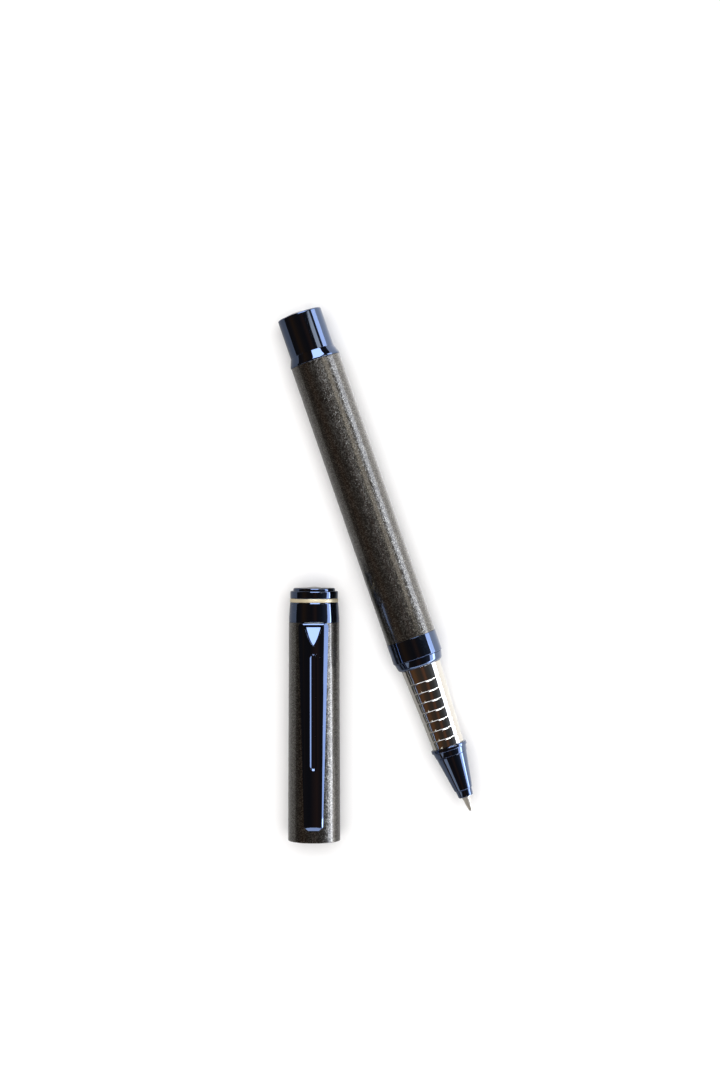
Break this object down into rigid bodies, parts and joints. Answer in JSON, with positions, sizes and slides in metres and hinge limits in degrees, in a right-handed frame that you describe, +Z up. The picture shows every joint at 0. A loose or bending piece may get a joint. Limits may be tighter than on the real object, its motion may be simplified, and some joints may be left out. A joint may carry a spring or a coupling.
{
  "type": "rollerball pen",
  "caption": "Slim metal rollerball pen with grooved grip, stepped tail and a pulled-off cap with a flat clip lying beside it.",
  "frame": {"origin": "centre of the overall box's base, on the table that the pen and its cap lie on", "axes": "+Z up from the table, +Y along the cap from its mouth to its crown; the pen lies at 19.1 degrees to it, tail towards +Y and -X"},
  "size_m": [0.0466, 0.1276, 0.0154],
  "materials": {
    "bronze_lacquer": "gloss metallic lacquer over brass",
    "black_plating": "mirror black plating",
    "bright_chrome": "mirror chrome",
    "pale_gold_plating": "bright plated",
    "silver_plating": "polished",
    "turned_brass": "fine turned",
    "steel": "plain bright steel",
    "nickel_silver": "fine turned",
    "tungsten_carbide": "polished",
    "refill_plastic": "smooth moulded",
    "black_plastic": "smooth moulded",
    "ink_fibre": "bonded fibre soaked with ink",
    "seal_rubber": "matt"
  },
  "bodies": {
    "barrel": {"barrel_tube": "bronze_lacquer", "front_ring": "black_plating", "thread_bush": "turned_brass", "tail_piece": "black_plating", "tail_medallion": "silver_plating", "spring_seat": "black_plastic", "refill_spring": "steel"},
    "washer": {"section_washer": "seal_rubber"},
    "section": {"section_core": "turned_brass", "grip_sleeve": "bright_chrome", "nose_ring": "black_plating", "nose_cone": "black_plating"},
    "refill": {"refill_tube": "refill_plastic", "refill_holder": "black_plastic", "refill_tip": "nickel_silver", "ink_reservoir": "ink_fibre", "refill_plug": "black_plastic"},
    "ball": {"tip_ball": "tungsten_carbide"},
    "cap": {"cap_tube": "bronze_lacquer", "cap_liner": "black_plastic", "inner_cap": "black_plastic", "cap_bush": "turned_brass", "cap_screw": "steel", "cap_band": "black_plating", "gold_ring": "pale_gold_plating", "crown_ring": "black_plating", "crown_disc": "black_plating", "crown_medallion": "silver_plating"},
    "clip": {"clip": "black_plating"}
  },
  "joints": [
    {"name": "section_travel", "type": "slide", "parent": "barrel", "child": "washer", "axis": [0.3272, -0.9449, 0], "range_m": [0, 0.006]},
    {"name": "section_turn", "type": "hinge", "parent": "washer", "child": "section", "pos_m": [0.02289, -0.05682, 0.00615], "axis": [0.3272, -0.9449, 0], "range_deg": [0, 2880]},
    {"name": "refill_float", "type": "slide", "parent": "section", "child": "refill", "axis": [-0.3272, 0.9449, 0], "range_m": [0, 0.0015], "stiffness_N_per_m": 250, "springref_m": -0.002, "deforming": ["refill_spring"]},
    {"name": "ball_roll", "type": "hinge", "parent": "refill", "child": "ball", "pos_m": [0.02278, -0.05649, 0.00615], "axis": [0.9449, 0.3272, 0], "continuous": true},
    {"name": "cap_pull", "type": "slide", "parent": "barrel", "child": "cap", "axis": [0, -1, 0], "range_m": [0, 0.039]},
    {"name": "clip_flex", "type": "hinge", "parent": "cap", "child": "clip", "pos_m": [-0.01471, -0.01342, 0.01214], "axis": [-1, 0, 0], "range_deg": [0, 3.5], "stiffness_Nm_per_rad": 2}
  ],
  "couplings": [
    {"joint": "section_turn", "follows": "section_travel", "rad_per_m": 8377.6}
  ]
}
